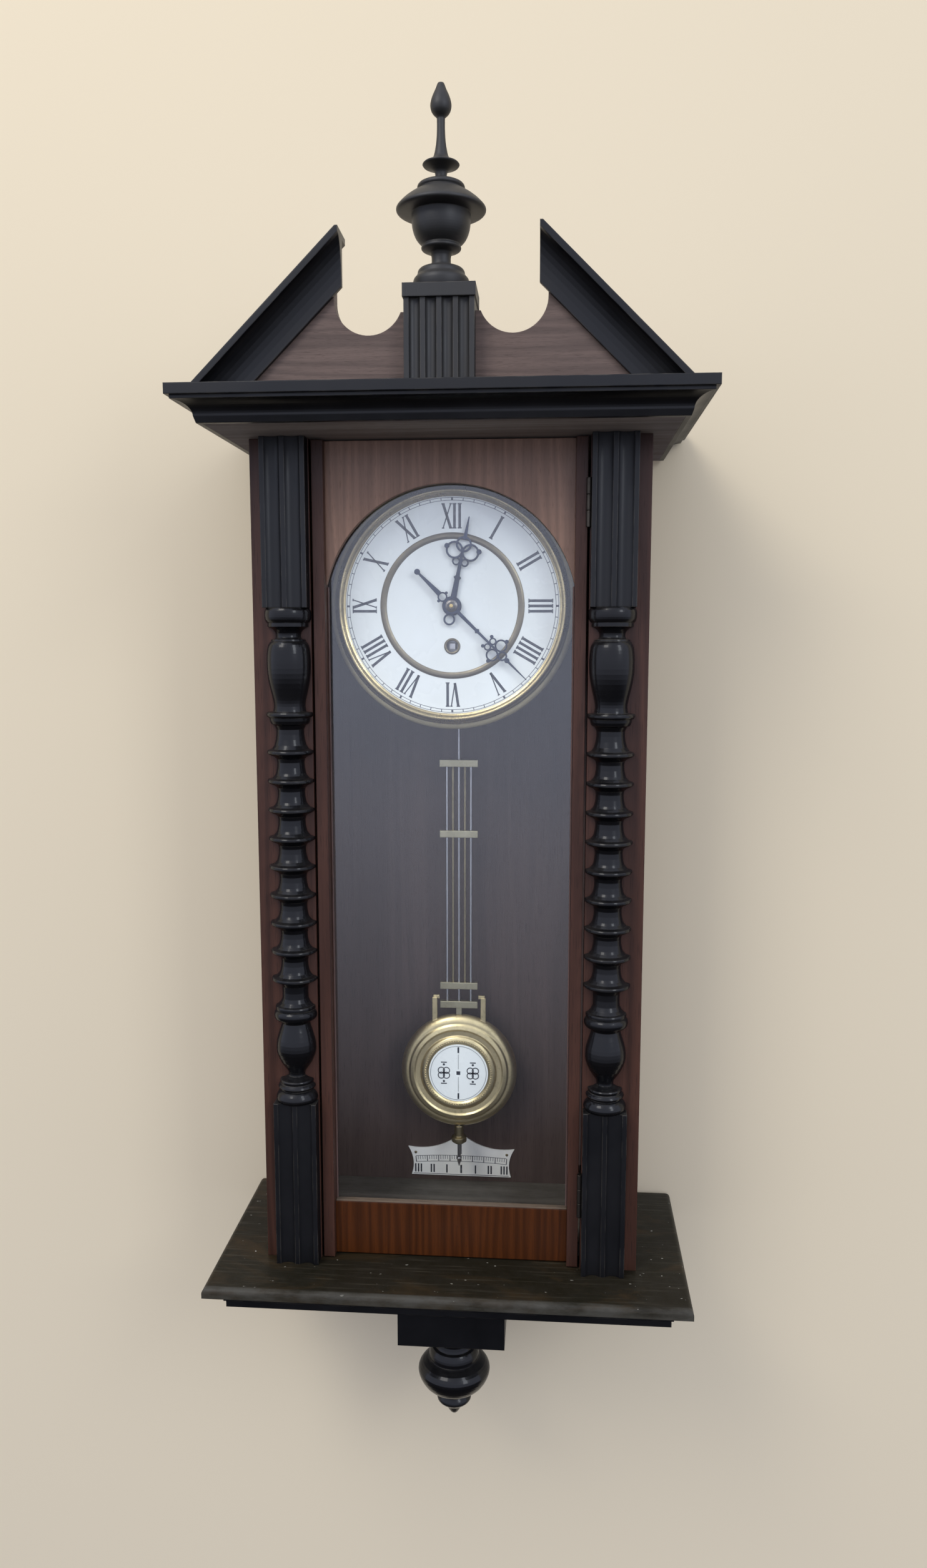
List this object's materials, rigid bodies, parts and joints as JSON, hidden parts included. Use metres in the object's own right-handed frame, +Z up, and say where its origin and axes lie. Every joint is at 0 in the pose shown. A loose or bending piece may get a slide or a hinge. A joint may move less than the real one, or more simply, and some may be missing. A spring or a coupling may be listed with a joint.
{
  "type": "wall clock",
  "caption": "Long glazed wall clock with turned half columns, broken pediment, gridiron pendulum and spring movement.",
  "frame": {"origin": "centre of the hanging hole, on the wall plane y = 0", "axes": "+Z up along the case, +Y into the wall, +X to the right seen from the front; the dial faces -Y"},
  "size_m": [0.384, 0.214, 1.0448],
  "materials": {
    "ebonised_wood": "satin",
    "walnut_veneer": "satin",
    "stained_wood": "satin",
    "bare_wood": "matte",
    "steel": "brushed",
    "brass": "polished",
    "pale_brass": "satin",
    "enamel": "gloss",
    "blued_steel": "gloss",
    "glass": "clear"
  },
  "bodies": {
    "case": {"back_board": "stained_wood", "side_boards": "stained_wood", "floor_board": "stained_wood", "top_board": "bare_wood", "front_stiles": "stained_wood", "reeded_blocks": "ebonised_wood", "turned_columns": "ebonised_wood", "cornice_moulding": "ebonised_wood", "crest_board": "walnut_veneer", "rake_mouldings": "ebonised_wood", "crest_plinth": "ebonised_wood", "finial": "ebonised_wood", "base_shelf": "ebonised_wood", "base_moulding": "ebonised_wood", "pendant_block": "ebonised_wood", "pendant_drop": "ebonised_wood", "hanger_plate": "steel", "screws": "steel", "hinge_leaves": "brass", "door_catch": "brass", "beat_scale": "enamel", "movement_bracket": "steel", "front_plate": "brass", "back_plate": "brass", "pillars": "brass", "back_cock": "brass", "dial_plate": "brass", "dial_enamel": "enamel", "dial_rings": "brass", "bezel": "brass", "suspension_spring": "steel", "click": "steel"},
    "door": {"door_stiles": "stained_wood", "arch_panel": "walnut_veneer", "bottom_rail": "walnut_veneer", "glass": "glass", "hinge_door_leaves": "brass"},
    "pendulum": {"pendulum_hook": "brass", "steel_rods": "steel", "brass_rods": "brass", "crossbars": "pale_brass", "rating_screw": "steel"},
    "bob": {"bob_case": "brass", "bob_enamel": "enamel"},
    "rating_nut": {"rating_nut": "brass"},
    "anchor": {"anchor": "steel"},
    "escape": {"escape_wheel": "brass"},
    "third": {"third_wheel": "brass"},
    "centre": {"centre_wheel": "brass"},
    "intermediate": {"intermediate_wheel": "brass"},
    "barrel": {"barrel": "brass", "mainspring": "steel"},
    "winding": {"winding_arbor": "steel"},
    "minute": {"minute_hand": "blued_steel", "cannon_pinion": "steel", "hand_nut": "steel"},
    "minute_wheel": {"minute_wheel": "brass"},
    "hour": {"hour_wheel": "brass", "hour_hand": "blued_steel"}
  },
  "joints": [
    {"name": "door_hinge", "type": "hinge", "parent": "case", "child": "door", "pos_m": [0.1052, -0.1341, -0.095], "axis": [0, 0, 1], "range_deg": [0, 95]},
    {"name": "pendulum_swing", "type": "hinge", "parent": "case", "child": "pendulum", "pos_m": [0, -0.036, -0.051], "axis": [0, 1, 0], "range_deg": [-2.5, 2.5], "deforming": ["suspension_spring"]},
    {"name": "anchor_swing", "type": "hinge", "parent": "case", "child": "anchor", "pos_m": [0, -0.05, -0.051], "axis": [0, 1, 0], "range_deg": [-2.5, 2.5]},
    {"name": "escape_turn", "type": "hinge", "parent": "case", "child": "escape", "pos_m": [0, -0.06, -0.06773], "axis": [0, 1, 0], "range_deg": [-3, 3]},
    {"name": "third_turn", "type": "hinge", "parent": "case", "child": "third", "pos_m": [-0.012, -0.07, -0.0787], "axis": [0, 1, 0], "range_deg": [-0.33333, 0.33333]},
    {"name": "centre_turn", "type": "hinge", "parent": "case", "child": "centre", "pos_m": [0, -0.07, -0.095], "axis": [0, 1, 0], "range_deg": [-0.033334, 0.033334]},
    {"name": "intermediate_turn", "type": "hinge", "parent": "case", "child": "intermediate", "pos_m": [0.0189, -0.06, -0.1026], "axis": [0, 1, 0], "range_deg": [-0.006061, 0.006061]},
    {"name": "barrel_turn", "type": "hinge", "parent": "case", "child": "barrel", "pos_m": [0, -0.07, -0.1264], "axis": [0, 1, 0], "range_deg": [-0.000722, 0.000722]},
    {"name": "winding_turn", "type": "hinge", "parent": "case", "child": "winding", "pos_m": [0, -0.09, -0.1264], "axis": [0, 1, 0], "range_deg": [0, 1440], "deforming": ["click", "mainspring"]},
    {"name": "hand_setting", "type": "hinge", "parent": "centre", "child": "minute", "pos_m": [0, -0.1, -0.095], "axis": [0, 1, 0], "continuous": true},
    {"name": "minute_wheel_turn", "type": "hinge", "parent": "case", "child": "minute_wheel", "pos_m": [-0.0121, -0.09, -0.088], "axis": [0, 1, 0], "continuous": true},
    {"name": "hour_turn", "type": "hinge", "parent": "case", "child": "hour", "pos_m": [0, -0.1, -0.095], "axis": [0, 1, 0], "continuous": true},
    {"name": "bob_slide", "type": "slide", "parent": "pendulum", "child": "bob", "axis": [0, 0, 1], "range_m": [-0.001, 0.001]},
    {"name": "rating_nut_turn", "type": "hinge", "parent": "bob", "child": "rating_nut", "pos_m": [0, -0.036, -0.565], "axis": [0, 0, 1], "range_deg": [-720.01, 720.01]}
  ],
  "couplings": [
    {"joint": "anchor_swing", "follows": "pendulum_swing", "ratio": 1},
    {"joint": "escape_turn", "follows": "pendulum_swing", "ratio": 1.2},
    {"joint": "third_turn", "follows": "pendulum_swing", "ratio": -0.13333},
    {"joint": "centre_turn", "follows": "pendulum_swing", "ratio": 0.013333},
    {"joint": "intermediate_turn", "follows": "pendulum_swing", "ratio": -0.0024242},
    {"joint": "barrel_turn", "follows": "pendulum_swing", "ratio": 0.0002886},
    {"joint": "minute_wheel_turn", "follows": "hand_setting", "ratio": -0.33333},
    {"joint": "hour_turn", "follows": "hand_setting", "ratio": 0.083333},
    {"joint": "rating_nut_turn", "follows": "bob_slide", "rad_per_m": 12566}
  ]
}
